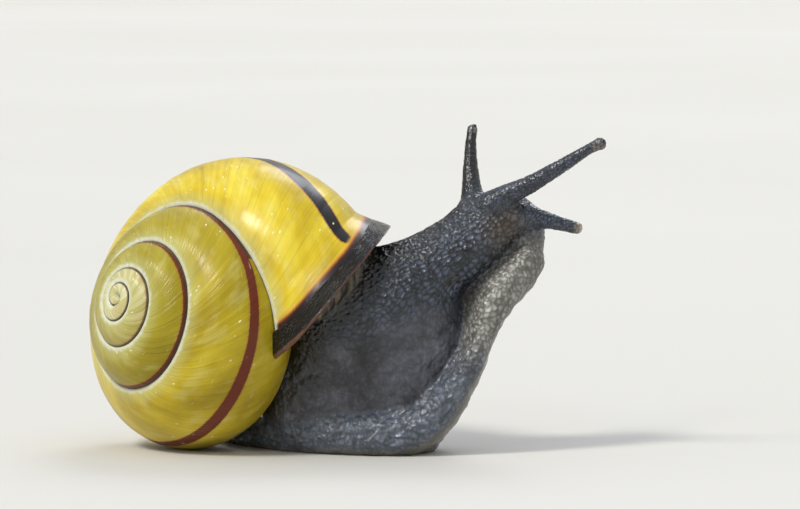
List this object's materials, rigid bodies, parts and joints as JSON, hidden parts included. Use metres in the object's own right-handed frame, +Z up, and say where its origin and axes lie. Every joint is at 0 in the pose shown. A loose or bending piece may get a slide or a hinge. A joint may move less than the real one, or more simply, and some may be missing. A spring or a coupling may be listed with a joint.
{
  "type": "grove snail",
  "caption": "Life-size still model of a land snail: yellow coiled shell with a dark band and dark lip, grey body with the front of the foot lifted and the feelers out.",
  "frame": {"origin": "middle of the sole, on the ground", "axes": "+X the way the snail crawls, +Y its left side, +Z up"},
  "size_m": [0.0343, 0.0183, 0.0214],
  "materials": {
    "shell": "glossy yellow shell with fine growth lines and a dark brown band",
    "lip": "glossy black-brown shell lip",
    "mantle": "wet, translucent brown-yellow mantle edge",
    "skin": "wet, granular slate-grey skin",
    "foot": "wet, granular grey foot",
    "eye": "glossy black"
  },
  "bodies": {
    "root": {"shell_spire": "shell", "shell_body_whorl": "shell", "shell_lip": "lip", "mantle_collar": "mantle", "tail": "foot", "foot_middle": "foot", "foot_front": "foot", "trunk": "skin", "neck": "skin", "head": "skin", "oral_lobe_right": "skin", "oral_lobe_left": "skin", "upper_tentacle_right": "skin", "upper_tentacle_left": "skin", "lower_tentacle_right": "skin", "lower_tentacle_left": "skin", "eye_right": "eye", "eye_left": "eye"}
  },
  "joints": []
}
